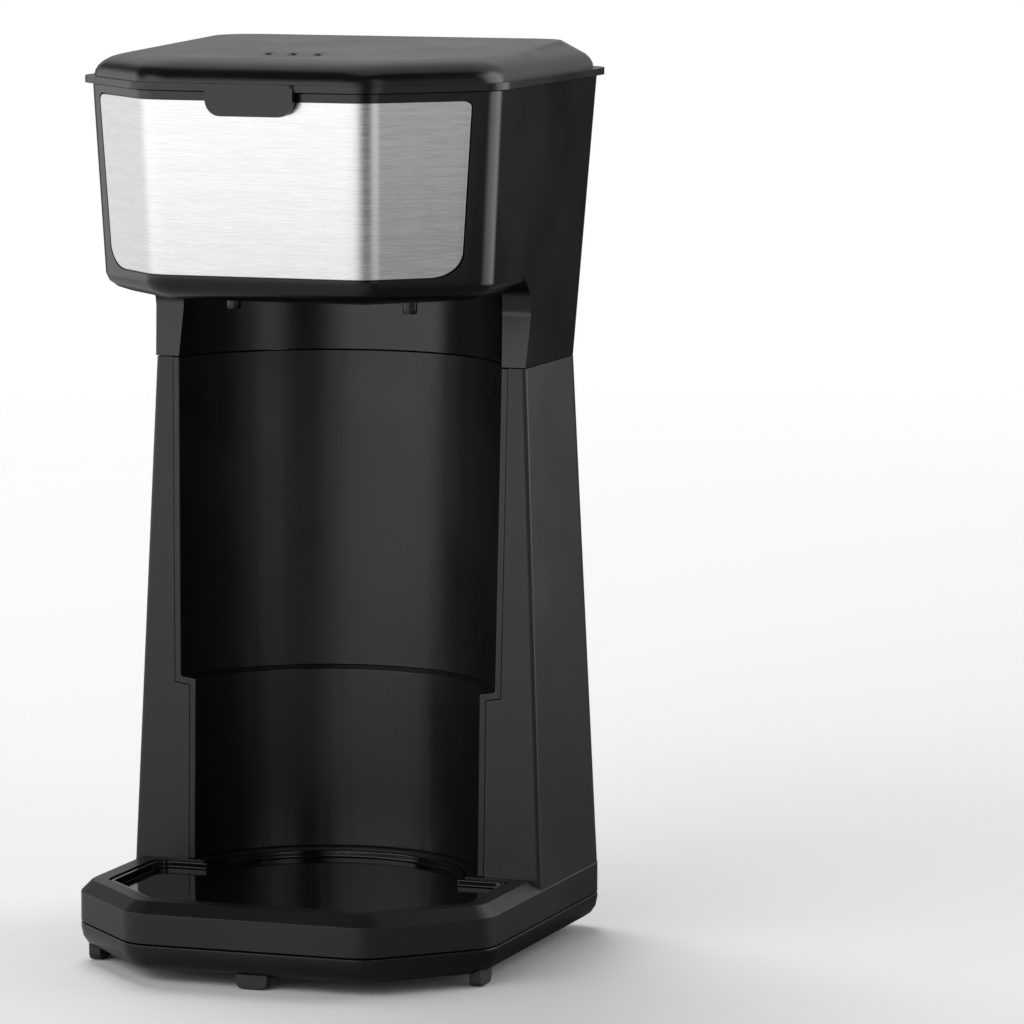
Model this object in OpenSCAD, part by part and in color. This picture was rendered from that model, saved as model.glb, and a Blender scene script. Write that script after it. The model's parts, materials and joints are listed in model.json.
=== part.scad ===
// Single-serve drip coffee maker: brew head, cup bay and base with lift-out tray.
// X is the width, Y the depth with the front at -Y, Z is up. All sizes are in millimetres.

/* [Body] */
// Depth from the front of the base to the back of the hinge knuckles
body_d = 150; // [140:1:175]
// Width of the base
base_w = 141; // [132:1:165]
// Width at the waist, where the two housings meet
waist_w = 127; // [124:1:140]
// Width of the head at its rim
rim_w = 137; // [132:1:160]
// Height of the waist parting line
waist_z = 190; // [175:1:220]
// Height of the head from the waist to its rim
head_h = 90; // [85:1:105]
// Wall thickness of the housings
wall = 2.4; // [1.8:0.1:3]
// Radius of the two rear corners
rear_r = 12; // [9:0.5:16]

/* [Head] */
// How far the head front stands back from the base front
head_setback = 9.2; // [6:0.2:14]
// Leg of the 45 degree facets at the front of the head
facet = 32; // [22:1:34]
// Radius that blends front, facets and sides
bend_r = 14; // [8:1:18]
// Height of the curved edge under the head
belly_h = 6; // [4:0.5:8]
// How far the curved edge runs in under the head
belly_in = 12; // [8:1:14]
// Height of the underside above the waist
belly_rise = 24; // [20:1:30]

/* [Steel panel] */
// Sheet thickness
panel_t = 0.7; // [0.5:0.1:1]
// Height of the panel
panel_h = 55.4; // [46:0.2:58]
// Width of the panel along its top edge
panel_w = 125.2; // [112:0.4:126]
// Gap between the panel and its recess
panel_gap = 0.4; // [0.2:0.1:0.6]
// Radius of its lower corners
panel_r = 8; // [4:1:12]

/* [Lid] */
// Height of the lid from the underside of its flange to its crown
lid_h = 11.3; // [10.5:0.1:14]
// Thickness of the flange
flange_t = 2.2; // [1.6:0.1:2.6]
// How far the flange stands out past the head
overhang = 2.5; // [1.5:0.1:3.5]
// Gap between the flange and the rim of the head
lid_gap = 0.5; // [0.4:0.1:0.8]
// Width of the finger tab
tab_w = 29; // [20:1:40]
// How far the tab hangs below the flange
tab_drop = 7.7; // [5:0.1:10]
// Width of the steam slots
vent_w = 1.5; // [1:0.1:2]
// Spacing of the steam slots
vent_pitch = 8.3; // [7:0.1:11]

/* [Hinge] */
// Diameter of the hinge pin
pin_d = 3; // [2.5:0.1:3.4]
// Running clearance on the pin radius
pin_fit = 0.05; // [0.03:0.01:0.1]
// Outer radius of the knuckles
knuckle_r = 3; // [2.6:0.1:3.4]
// Length of the lid's knuckle
knuckle_w = 60; // [40:2:70]
// Length of each ear on the housing
ear_w = 7; // [5:1:10]

/* [Cup bay] */
// Distance from the base front to the brewing axis
brew_in = 67; // [64:1:76]
// Radius of the bay at the waist
bay_r = 57.5; // [54:0.5:58]
// Radius of the bay just above its step
bay_step_r = 55.5; // [53:0.5:56]
// Radius of the bay below the step
bay_low_r = 50.5; // [47:0.5:52]
// Height of the step
step_z = 85; // [70:1:110]
// How far the front of the side walls leans forward towards the base
wall_lean = 5; // [2:0.5:8]
// Distance from the base front to the wall front at the waist
wall_in = 82; // [79:0.5:86]
// Thickness of the bay liner
liner_t = 2; // [1.5:0.1:2.5]

/* [Base] */
// Leg of the 45 degree facets at the front of the base
base_facet = 31; // [22:1:36]
// Height of the feet
foot_h = 3.8; // [3:0.1:5]
// Height of the bottom plate
plate_h = 8.6; // [7:0.1:10]
// Radius of the bottom plate's lower edge
plate_r = 7; // [4:0.5:7.5]
// Seam between the bottom plate and the housing
seam = 0.5; // [0.3:0.1:0.8]
// Height of the rim of the base
rim_h = 26; // [25:0.5:30]
// Chamfer around the rim
rim_chamfer = 3.6; // [2:0.1:4]
// Width of the flat top of the rim
rim_flat = 5.3; // [4:0.1:8]

/* [Drip tray] */
// Depth of the well below the rim
well_h = 4.4; // [3.6:0.1:5]
// Radius of the well at the back of the bay
well_r = 46; // [42:0.5:46]
// Clearance between the tray and its well
tray_gap = 0.5; // [0.3:0.1:1]
// Wall of the tray
tray_t = 1.6; // [1.2:0.1:2]
// How far the tray's edge lies below the rim
tray_drop = 0.4; // [0:0.1:1]

/* [Brewing] */
// Inner radius of the brewing chamber
chamber_r = 43; // [40:0.5:44]
// Radius of the opening under the chamber
mouth_r = 37; // [33:0.5:38]
// Radius of the basket's body at the top
basket_r = 39; // [36:0.5:41]
// Radius on which the standing pegs sit
peg_circle_r = 30; // [24:0.5:31]
// Diameter of a peg at its root
peg_d = 5.3; // [4:0.1:7]
// How far the pegs reach below the underside of the head
peg_drop = 6.4; // [4:0.1:9]
// Wall of the basket, the chamber and the tank
tub_t = 1.8; // [1.4:0.1:2.2]
// Height of the tank
tank_h = 56; // [48:1:56]

/* [Water path] */
// Bore of the silicone hoses
hose_bore = 6; // [5:0.2:7]
// Wall of the silicone hoses
hose_t = 1.6; // [1.2:0.1:2]
// Distance of the hoses from the middle
hose_x = 36; // [34:1:40]
// Diameter of the heater's water tube
boiler_d = 9; // [8:0.5:10]
// Diameter of the sheathed heating element
element_d = 6.6; // [6:0.2:7.4]
// Diameter of the check-valve ball
ball_d = 5; // [4:0.2:5.6]
// Travel of the ball
ball_travel = 2; // [1:0.1:3]

/* [Switch] */
// Height of the switch
switch_z = 120; // [105:1:150]
// Length of the switch opening
switch_l = 19.4; // [17:0.2:22]
// Width of the switch opening
switch_w = 13; // [11:0.2:15]
// Swing radius of the rocker
rocker_r = 8; // [6.5:0.1:8.4]
// Tilt of the rocker to either side
rocker_tilt = 8; // [5:1:10]

/* [Hidden] */
$fn = 48;
corner_fn = 32;
eps = 0.02;
// tan(22.5), the place of an arc centre beside a 45 degree bend
k = tan(22.5);

// Heights
plate_z = foot_h;
shell_z = foot_h + plate_h;
chamfer_z = rim_h - rim_chamfer;
rim_z = waist_z + head_h;
belly_z = waist_z + belly_rise;
edge_z = belly_z + belly_h;
flange_z = rim_z + lid_gap;
dome_z = flange_z + flange_t;
crown_z = flange_z + lid_h;
crease_z = dome_z + 0.72 * (lid_h - flange_t);
well_z = rim_h - well_h;

// Depths
front_y = -body_d / 2;
pivot_y = body_d / 2 - knuckle_r;
pivot_z = flange_z + 1.4;
brew_y = front_y + brew_in;
head_front = front_y + head_setback;
rim_rear = pivot_y + 0.2;
waist_rear = rim_rear - 0.097 * head_h;
base_rear = waist_rear + 5;
wall_y = front_y + wall_in;
taper = (rim_w - waist_w) / 2 / head_h;
base_hw = base_w / 2;
waist_hw = waist_w / 2;
base_bend_r = 13;
// The column stands this little inside the base block
col_inset = 0.15;

// Half width and rear face of the column at height z
function down(z) = (waist_z - z) / (waist_z - chamfer_z);
function col_hw(z) = waist_hw + (base_hw - col_inset - waist_hw) * down(z);
function col_rear(z) = waist_rear + (base_rear - col_inset - waist_rear) * down(z);
function head_hw(z) = rim_w / 2 - taper * (rim_z - z);
function head_rear(z) = rim_rear - (rim_rear - waist_rear) * (rim_z - z) / head_h;
// Leg of a 45 degree facet after its outline moves in by d
function facet_in(f, d) = f - (1 - k) * d;
function mix(a, b, t) = a + (b - a) * t;
function big(r) = max(r, 0.6);

// ---- Outline helpers -------------------------------------------------------------

// Corner discs of an outline with a faceted front, moved in by d; rear discs at height zr
module faceted_ring(z, hw, front, rear, f, rf, rr, d = 0, zr = undef, t = eps) {
  ff = facet_in(f, d);
  r1 = big(rf - d);
  r2 = big(rr - d);
  z2 = is_undef(zr) ? z : zr;
  for (s = [-1, 1]) {
    translate([s * (hw - d - ff - r1 * k), front + d + r1, z]) cylinder(r = r1, h = t, $fn = corner_fn);
    translate([s * (hw - d - r1), front + d + ff + r1 * k, z]) cylinder(r = r1, h = t, $fn = corner_fn);
    translate([s * (hw - d - r2), rear - d - r2, z2]) cylinder(r = r2, h = t, $fn = corner_fn);
  }
}

// Corner discs of a plain rectangle with its own front and rear radii
module square_ring(z, hw, front, rear, rf, rr, t = eps) {
  for (s = [-1, 1]) {
    translate([s * (hw - rf), front + rf, z]) cylinder(r = rf, h = t, $fn = corner_fn);
    translate([s * (hw - rr), rear - rr, z]) cylinder(r = rr, h = t, $fn = corner_fn);
  }
}

module head_ring(z, d = 0) {
  in = taper * (rim_z - z);
  faceted_ring(z, rim_w / 2 - in, head_front + in, head_rear(z), facet_in(facet, in), bend_r, rear_r, d);
}

module base_ring(z, d = 0, t = eps) {
  faceted_ring(z, base_hw, front_y, base_rear, base_facet, base_bend_r, rear_r, d, undef, t);
}

// A tube along Z with its bore
module pipe(r, bore, h) {
  difference() {
    cylinder(r = r, h = h);
    translate([0, 0, -1]) cylinder(r = bore, h = h + 2);
  }
}

module x_rod(r, l) { rotate([0, 90, 0]) cylinder(r = r, h = l, center = true); }
module y_rod(r, l) { rotate([-90, 0, 0]) cylinder(r = r, h = l); }
module at_brew(z) { translate([0, brew_y, z]) children(); }

// ---- Head ------------------------------------------------------------------------

// Outer form of the head, moved in by d
module head_form(d = 0, top = 0) {
  hull() {
    head_ring(rim_z + top - eps, d);
    for (a = [0:22.5:90])
      head_ring(edge_z + d - belly_h * sin(a), d + belly_in * (1 - cos(a)));
  }
}

// Column behind the bay, in the upper housing
neck_top = edge_z + 3;
module neck_form(d = 0) {
  hull() {
    square_ring(waist_z - (d > 0 ? 1 : 0), waist_hw - d, wall_y - 14, waist_rear - d, 1, big(rear_r - d));
    square_ring(neck_top, head_hw(neck_top) - d, wall_y - 14, head_rear(neck_top) - d, 1, big(rear_r - d));
  }
}

// Space in front of the neck: it leans back, then curves forward under the head
arch_run = 13.6;
arch_rise = 14;
arch_back = 2.6;
module arch_space() {
  arch = [for (a = [0:10:90])
            [wall_y + arch_back - arch_run * (1 - cos(a)), edge_z - arch_rise * (1 - sin(a))]];
  rotate([90, 0, 90])
    linear_extrude(height = 2 * rim_w, center = true)
      polygon(concat([[-body_d, waist_z - 2], [wall_y, waist_z - 2], [wall_y, waist_z]], arch,
                     [[-body_d, edge_z]]));
}

module panel_window(gap) {
  top = edge_z + 2.3 + panel_h - gap;
  low = edge_z + 2.3 + gap;
  low_w = panel_w / 2 - gap - taper * panel_h;
  hull()
    for (s = [-1, 1]) {
      translate([s * (panel_w / 2 - gap - 2), head_front - 5, top - 2]) y_rod(2, 45);
      translate([s * (low_w - panel_r), head_front - 5, low + panel_r]) y_rod(panel_r, 45);
    }
}

module knuckle_space(w, r) { translate([0, pivot_y, pivot_z]) x_rod(r, w); }

module upper_housing() color("#1c1c1e") {
  difference() {
    union() {
      head_form();
      difference() {
        neck_form();
        arch_space();
      }
      for (s = [-1, 1])
        translate([s * (knuckle_w / 2 + 0.3 + ear_w / 2), 0, 0]) {
          translate([0, pivot_y, pivot_z]) x_rod(knuckle_r, ear_w);
          translate([-ear_w / 2, rim_rear - wall, rim_z - 3]) cube([ear_w, wall, pivot_z - rim_z + 3]);
        }
    }
    // Inside of the head and of the neck
    difference() {
      head_form(wall, 1);
      translate([-rim_w, head_front - 5, belly_z - 1]) cube([2 * rim_w, 2 * body_d, wall + 1]);
    }
    difference() {
      intersection() {
        neck_form(wall);
        translate([-rim_w, wall_y + arch_back + wall, waist_z - 2]) cube([2 * rim_w, body_d, body_d]);
      }
      at_brew(waist_z - 3) cylinder(r = bay_r + liner_t + 0.2, h = belly_rise + 3 + wall, $fn = 96);
    }
    // Cup bay and the mouth of the brewing chamber
    at_brew(waist_z - 1) cylinder(r = bay_r, h = belly_rise + 1, $fn = 96);
    at_brew(belly_z - 1) cylinder(r = mouth_r, h = wall + 2, $fn = 72);
    // Recess of the steel panel
    difference() {
      intersection() {
        panel_window(0);
        translate([-rim_w, head_front - 5, waist_z]) cube([2 * rim_w, 44, head_h]);
      }
      head_form(panel_t + 0.05);
    }
    // Hinge: room for the lid's knuckle and the pin's bores
    knuckle_space(knuckle_w + 0.6, knuckle_r + 0.4);
    knuckle_space(knuckle_w + 2 * ear_w - 3, pin_d / 2);
  }
}

module steel_panel() color("#c9cacc")
  difference() {
    intersection() {
      head_form();
      panel_window(panel_gap);
    }
    head_form(panel_t);
  }

// ---- Lid -------------------------------------------------------------------------

lid_rear = pivot_y - 0.4;
crease_hw = rim_w / 2 - 8;
crease_front = head_front + 15;
crease_facet = 25;
crease_rear = lid_rear - 2.6 - 5;
lid_bend_r = bend_r + 5;
vent_y = brew_y - 23.6;

// Dome between the flange and the crease, moved in by d
module dome_form(d = 0) {
  hull() {
    for (a = [0:15:90]) {
      t = 1 - cos(a);
      z = dome_z - (d > 0 ? 3 : 0) + (crease_z - dome_z - d + (d > 0 ? 3 : 0)) * sin(a);
      faceted_ring(z, mix(rim_w / 2, crease_hw, t), mix(head_front, crease_front, t),
                   mix(lid_rear - 2.6, crease_rear, t), mix(facet, crease_facet, t), lid_bend_r, rear_r, d);
    }
    faceted_ring(crease_z + 0.5 - d, crease_hw - 1, crease_front + 1, crease_rear - 1, crease_facet - 0.6,
                 lid_bend_r, rear_r, d, crown_z - 0.1 - d);
    faceted_ring(crease_z + 0.7 - d, crease_hw - 6, crease_front + 6, crease_rear - 6, crease_facet - 3.5,
                 lid_bend_r, rear_r, d, crown_z - eps - d);
  }
}

module flange_form() {
  intersection() {
    hull() {
      faceted_ring(flange_z, rim_w / 2 + overhang, head_front - overhang, rim_rear + overhang,
                   facet_in(facet, -overhang), bend_r + overhang, rear_r + overhang, 0);
      faceted_ring(dome_z - eps, rim_w / 2 + overhang, head_front - overhang, rim_rear + overhang,
                   facet_in(facet, -overhang), bend_r + overhang, rear_r + overhang, 0);
    }
    translate([-rim_w, lid_rear - 2 * body_d, 0]) cube([2 * rim_w, 2 * body_d, 2 * rim_z]);
  }
}

// One curl of steam as a slot: two arcs that turn opposite ways
module vent_curl(h) {
  r = 3.4;
  for (s = [-1, 1])
    translate([0, s * r * 0.82, 0]) translate([s * r * 0.57, 0, 0]) rotate([0, 0, s > 0 ? 125 : -55])
      rotate_extrude(angle = 110) translate([r - vent_w / 2, 0]) square([vent_w, h]);
}

module tab_form() {
  tab_y = head_front - overhang - 1.3;
  hull() {
    for (s = [-1, 1]) {
      translate([s * (tab_w / 2 - 5), tab_y, flange_z - tab_drop + 5]) y_rod(5, 2.2);
      translate([s * (tab_w / 2) - (s > 0 ? 1 : 0), tab_y, flange_z]) cube([1, 2.2, 1]);
    }
  }
  hull()
    for (s = [-1, 1]) {
      translate([s * (tab_w / 2 - 1.3), tab_y + 1.3, flange_z]) cylinder(r = 1.3, h = flange_t);
      translate([s * (tab_w / 2 + 2.5), tab_y + 4, flange_z]) cylinder(r = 1.3, h = flange_t);
    }
}

module lid() color("#1f1f21") {
  difference() {
    union() {
      flange_form();
      dome_form();
      tab_form();
      knuckle_space(knuckle_w, knuckle_r);
      translate([-knuckle_w / 2, lid_rear - 4, flange_z]) cube([knuckle_w, 4.2, flange_t + 1]);
    }
    dome_form(2.2);
    for (i = [-1, 0, 1]) translate([i * vent_pitch, vent_y, crease_z - 4]) vent_curl(12);
    for (s = [-1, 1])
      translate([s * (knuckle_w / 2 + 0.3 + ear_w / 2), 0, 0]) knuckle_space(ear_w + 0.6, knuckle_r + 0.4);
    knuckle_space(knuckle_w + 2, pin_d / 2 + pin_fit);
  }
}

module hinge_pin() color("#b9bbbe") knuckle_space(knuckle_w + 2 * ear_w - 3, pin_d / 2);

// Cover under the lid, which closes the dome and carries the water channel
liner_z = rim_z - 1.2;
liner_y = crease_rear - 6;
liner_h = dome_z - 0.2 + eps - liner_z;
liner_skin = 1.4;
module lid_liner() color("#2a2a2c") {
  in = wall + 1.2;
  difference() {
    hull() faceted_ring(liner_z, rim_w / 2, head_front, liner_y + in, facet, bend_r, rear_r, in,
      undef, liner_h);
    hull() faceted_ring(liner_z + liner_skin, rim_w / 2, head_front, liner_y + in, facet, bend_r,
      rear_r, in + liner_skin, undef, liner_h);
    // Steam passes up through the cover below the slots
    for (i = [-2:2]) translate([i * 7, brew_y, liner_z - 1]) cylinder(r = 1.6, h = 5, $fn = 24);
    translate([hose_x, hose_y, liner_z - 1]) cylinder(r = 5.2, h = 5);
  }
}

hose_y = brew_y + 55;
channel_z = liner_z + 1.6;
module water_channel() color("#3a3a3c") {
  difference() {
    hull() {
      translate([hose_x, hose_y, channel_z]) cylinder(r = 7, h = 5);
      at_brew(channel_z) cylinder(r = 15, h = 5);
    }
    hull() {
      translate([hose_x, hose_y, channel_z - 1]) cylinder(r = 3, h = 4.4);
      at_brew(channel_z - 1) cylinder(r = 8, h = 4.4);
    }
  }
}

module channel_seal() color("#d9d4c8")
  translate([hose_x, hose_y, liner_z - 0.2]) pipe(5, 3, 1.7);

module shower_plate() color("#2b2b2d") {
  at_brew(liner_z - 4.2) difference() {
    rotate_extrude($fn = 72)
      polygon([[0, 0], [27, 0], [29, 1.2], [29, 4], [27.2, 4], [27.2, 1.8], [0, 1.8]]);
    for (ring = [[6, 9], [10, 16], [14, 23]])
      for (i = [0:ring[0] - 1])
        rotate([0, 0, 360 / ring[0] * i]) translate([ring[1], 0, -1]) cylinder(r = 0.9, h = 4, $fn = 16);
  }
}

// ---- Lower housing and base --------------------------------------------------------

module column_form(d = 0) {
  top = waist_z - 0.3;
  low = d > 0 ? chamfer_z - 10 : chamfer_z;
  past = d > 0 ? 1 : 0;
  r = big(rear_r - d);
  hull() {
    square_ring(top + past - eps, col_hw(top) - d, wall_y + d, col_rear(top) - d, 1.6, r);
    square_ring(low, col_hw(low) - d, wall_y - wall_lean + d, col_rear(low) - d, 1.6, r);
  }
}

// Turned form of the bay; grow moves its wall out
module bay_form(grow, z_low, z_top) {
  at_brew(0) rotate_extrude($fn = 96)
    polygon([[0, z_low], [bay_low_r - 0.5 + grow, z_low], [bay_low_r + grow, step_z - grow],
             [bay_step_r + grow, step_z - grow + 0.8], [bay_r + grow, z_top], [0, z_top]]);
}

module well_form(d, z_low, z_top) {
  edge = rim_chamfer + rim_flat;
  rear = wall_y - wall_lean - 1.5 + edge;
  hull()
    for (z = [z_low, z_top - eps])
      faceted_ring(z, base_hw, front_y, rear, base_facet, base_bend_r, edge + 6, edge + d);
  at_brew(z_low) cylinder(r = well_r - d, h = z_top - z_low, $fn = 96);
}

cover_low = 62;
cover_top = waist_z - 14;
cover_hw = waist_hw - rear_r - 5;
module cover_window(gap) {
  translate([-cover_hw - gap, brew_y + bay_r, cover_low - gap])
    cube([2 * (cover_hw + gap), body_d, cover_top - cover_low + 2 * gap]);
}

gland_x = 30;
gland_z = 45;
gland_y = col_rear(gland_z);
switch_y = wall_y + 33;
switch_x = -col_hw(switch_z);
// Lean of the side wall, which the switch follows
wall_tilt = atan((base_hw - waist_hw) / (waist_z - chamfer_z));
light_z = switch_z + 24;

base_screw_spots = [[-44, -50], [44, -50], [-56, 48], [56, 48]];
cover_screw_spots = [for (x = [-1, 1]) for (z = [cover_low + 8, cover_top - 8]) [x * (cover_hw - 6), z]];

module at_switch() { translate([switch_x, switch_y, switch_z]) rotate([0, wall_tilt, 0]) children(); }

module lower_housing() color("#2f2f31") {
  difference() {
    union() {
      difference() {
        union() {
          hull() {
            base_ring(shell_z + seam, 0, chamfer_z - shell_z - seam);
            base_ring(rim_h - eps, rim_chamfer);
          }
          column_form();
        }
        // Inside of the base and of the column
        difference() {
          hull() {
            base_ring(shell_z - 1, wall, rim_h - wall - shell_z);
            base_ring(rim_h - wall, wall + 1.5);
          }
          well_form(-wall, well_z - 2, rim_h);
        }
        difference() {
          column_form(wall);
          at_brew(-1) cylinder(r = bay_low_r, h = rim_h + 1, $fn = 96);
        }
      }
      // Bosses for the screws of the bottom plate
      for (p = base_screw_spots)
        translate([p[0], p[1], shell_z + seam]) cylinder(r = 3.6, h = well_z - 1 - shell_z - seam);
      for (p = [base_screw_spots[2], base_screw_spots[3]])
        translate([min(p[0], sign(p[0]) * (base_hw - 1)), p[1] - 1, shell_z + seam])
          cube([base_hw - 1 - abs(p[0]), 2, well_z - 1 - shell_z - seam]);
    }
    bay_form(liner_t + 0.1, rim_h, waist_z + 5);
    well_form(0, well_z, rim_h + 20);
    cover_window(0.3);
    for (p = base_screw_spots) translate([p[0], p[1], shell_z]) cylinder(r = 1.2, h = 7, $fn = 24);
    translate([gland_x, gland_y - 8, gland_z]) y_rod(5, 20);
    at_switch() translate([-10, -switch_w / 2, -switch_l / 2]) cube([20, switch_w, switch_l]);
    translate([switch_x - 10, switch_y, light_z]) rotate([0, 90, 0]) cylinder(r = 2.2, h = 20);
  }
}

module bay_liner() color("#29292b") {
  intersection() {
    difference() {
      bay_form(liner_t, rim_h + 0.1, waist_z - 0.35);
      bay_form(0, rim_h - 1, waist_z + 1);
    }
    column_form();
  }
}

module rear_cover() color("#2f2f31") {
  difference() {
    intersection() {
      column_form();
      cover_window(0);
    }
    column_form(wall);
    for (p = cover_screw_spots) translate([p[0], body_d / 2 - 30, p[1]]) y_rod(1.6, 60);
  }
}

module plate_form() {
  hull() {
    base_ring(shell_z - eps);
    for (a = [0:22.5:90])
      base_ring(plate_z + plate_r * (1 - cos(a)), plate_r * (1 - sin(a)));
  }
}

module bottom_plate() color("#242426") {
  difference() {
    union() {
      difference() {
        plate_form();
        hull() {
          base_ring(shell_z + 1, 2.2);
          base_ring(plate_z + plate_r, 2.2);
          base_ring(plate_z + 2.2, plate_r);
        }
      }
      for (p = base_screw_spots) translate([p[0], p[1], plate_z + 1]) cylinder(r = 4.2, h = plate_h - 1);
    }
    for (p = base_screw_spots) {
      translate([p[0], p[1], plate_z - 1]) cylinder(r = 1.7, h = 20, $fn = 24);
      translate([p[0], p[1], plate_z - 1]) cylinder(r = 3.2, h = 4);
    }
    for (y = [10:6:34]) translate([-16, y, plate_z - 1]) cube([32, 2, 5]);
  }
}

foot_l = 10.8;
foot_t = 4;
foot_in = 3.8;
foot_side_y = front_y + base_facet + 5;

// A rubber pad with rounded lower corners, long in X, or in Y when turned
module foot(x, y, turn) {
  difference() {
    translate([x, y, 0]) rotate([0, 0, turn]) hull() {
      for (s = [-1, 1]) translate([s * (foot_l / 2 - 2.6), -foot_t / 2, 2.6]) y_rod(2.6, foot_t);
      translate([-foot_l / 2, -foot_t / 2, foot_h]) cube([foot_l, foot_t, plate_r / 2]);
    }
    plate_form();
  }
}
module foot_front() color("#3a3a3c") foot(0, front_y + foot_in + foot_t / 2, 0);
module foot_rear() color("#3a3a3c") foot(0, base_rear - foot_in - foot_t / 2, 0);
module foot_right() color("#3a3a3c") foot(base_hw - foot_in - foot_t / 2, foot_side_y, 90);
module foot_left() color("#3a3a3c") foot(foot_in + foot_t / 2 - base_hw, foot_side_y, 90);

module drip_tray() color("#101012") {
  top = rim_h - tray_drop;
  low = well_z + 0.2;
  difference() {
    well_form(tray_gap, low, top);
    well_form(tray_gap + tray_t, low + tray_t, top + 5);
  }
}

// ---- Tank and brewing parts --------------------------------------------------------

tank_z = rim_z - 2.2 - tank_h;
tank_front = brew_y - 4;
tank_in = wall + 0.8;

module tank_form(d, z, top) {
  difference() {
    intersection() {
      hull() {
        head_ring(z, tank_in + d);
        head_ring(top - eps, tank_in + d);
      }
      translate([-rim_w, tank_front + d, z]) cube([2 * rim_w, body_d, top - z]);
    }
    at_brew(z - 1) cylinder(r = chamber_r + tub_t + 0.6 + d, h = top - z + 2, $fn = 96);
  }
}

module water_tank() color("#3b3d40") {
  difference() {
    union() {
      tank_form(0, tank_z, tank_z + tank_h);
      translate([-hose_x, hose_y, tank_z - 7]) cylinder(r = hose_bore / 2 - 0.05, h = 8);
    }
    tank_form(tub_t, tank_z + tub_t, tank_z + tank_h + 1);
    translate([-hose_x, hose_y, tank_z - 8]) cylinder(r = 2, h = 12);
    translate([hose_x, hose_y, tank_z - 1]) cylinder(r = hose_bore / 2, h = 5);
  }
}

module tank_screen() color("#c8c9c4")
  translate([-hose_x, hose_y, tank_z + tub_t + 0.05]) difference() {
    union() {
      pipe(4.2, 2.6, 1.6);
      translate([0, 0, 1.6]) cylinder(r = 4.2, h = 0.8);
    }
    for (x = [-2.4:1.2:2.4]) translate([x - 0.25, -2.2, 1]) cube([0.5, 4.4, 2]);
  }

// Seat that the basket hangs in
chamber_top = rim_z - 8;
module brew_chamber() color("#2d2d2f")
  at_brew(0) rotate_extrude($fn = 72)
    polygon([[mouth_r - 0.4, belly_z + wall + 0.1], [chamber_r - 3, belly_z + wall + 0.1],
             [chamber_r + tub_t, belly_z + wall + 1.5],
             [chamber_r + tub_t, chamber_top], [chamber_r, chamber_top],
             [chamber_r, belly_z + wall + tub_t], [mouth_r - 0.4, belly_z + wall + tub_t]]);

basket_top = chamber_top + tub_t;
basket_low = belly_z + 0.6;
basket_low_r = mouth_r - 2.4;
module brew_basket() color("#161618") {
  difference() {
    union() {
      at_brew(0) rotate_extrude($fn = 72)
        polygon([[0, basket_low + 4], [6, basket_low + 0.8], [basket_low_r - 3, basket_low],
                 [basket_low_r, basket_low + 2.5], [basket_r, chamber_top + 0.05],
                 [chamber_r + tub_t - 0.2, chamber_top + 0.05], [chamber_r + tub_t - 0.2, basket_top],
                 [basket_r - tub_t, basket_top], [basket_low_r - tub_t, basket_low + 4.3],
                 [0, basket_low + 4.3]]);
      for (s = [-1, 1])
        translate([s * peg_circle_r, brew_y, belly_z - peg_drop])
          cylinder(r1 = peg_d / 2 - 0.45, r2 = peg_d / 2, h = peg_drop + 3);
    }
    at_brew(basket_low - 5) cylinder(r = 2.4, h = 20);
  }
}

// Reusable filter: a moulded frame and a fine mesh cone
frame_top = basket_top + 0.3;
module filter_frame() color("#222224") {
  at_brew(0) difference() {
    union() {
      rotate_extrude($fn = 72)
        polygon([[basket_r - tub_t - 6, frame_top - 1.2], [basket_r - tub_t - 1.2, frame_top - 1.2],
                 [basket_r - tub_t - 1.2, frame_top], [basket_r - tub_t - 6, frame_top]]);
      rotate_extrude($fn = 72)
        polygon([[0, basket_low + 8.6], [17, basket_low + 8.6], [17, basket_low + 10], [0, basket_low + 10]]);
      for (a = [45:90:315])
        rotate([0, 0, a]) rotate([90, 0, 0]) translate([0, 0, -1]) linear_extrude(height = 2)
          polygon([[15, basket_low + 8.6], [17, basket_low + 8.6], [basket_r - tub_t - 4.2, frame_top],
                   [basket_r - tub_t - 6, frame_top]]);
    }
  }
  translate([-6, brew_y + 4, frame_top - 1.2]) cube([12, 2.4, 1.2]);
  for (s = [-1, 1])
    translate([s * 6 - 1, brew_y + 4, frame_top - 1.2]) cube([2, basket_r - tub_t - 8, 1.2]);
}

module filter_mesh() color("#b88a3c")
  at_brew(0) rotate_extrude($fn = 72)
    polygon([[17.4, basket_low + 9.2], [18, basket_low + 9.2], [basket_r - tub_t - 3.2, frame_top - 1.3],
             [basket_r - tub_t - 3.8, frame_top - 1.3]]);

// ---- Water path --------------------------------------------------------------------

hose_r = hose_bore / 2 + hose_t;
boiler_z = (plate_z + well_z) / 2 + 0.6;
boiler_bend_y = brew_y - 6;
elbow_r = 9;
hose_low_z = boiler_z + elbow_r;

module riser_tube() color("#dad7cf") {
  translate([hose_x, hose_y, tank_z - 6]) pipe(hose_bore / 2 - 0.05, 2, tank_h + 6);
}

module riser_grommet() color("#d9d4c8")
  translate([hose_x, hose_y, tank_z + tank_h - 3]) difference() {
    cylinder(r = 4.6, h = 3.6);
    translate([0, 0, -1]) cylinder(r = hose_bore / 2, h = 4);
    cylinder(r = 2, h = 5);
  }

// Quarter bend from a level run into a rising one
module elbow(r, bore) {
  translate([0, -elbow_r, elbow_r]) rotate([90, 0, 90]) rotate([0, 0, -90])
    rotate_extrude(angle = 90) translate([elbow_r, 0]) difference() {
      circle(r = r);
      circle(r = bore);
    }
}

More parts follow.
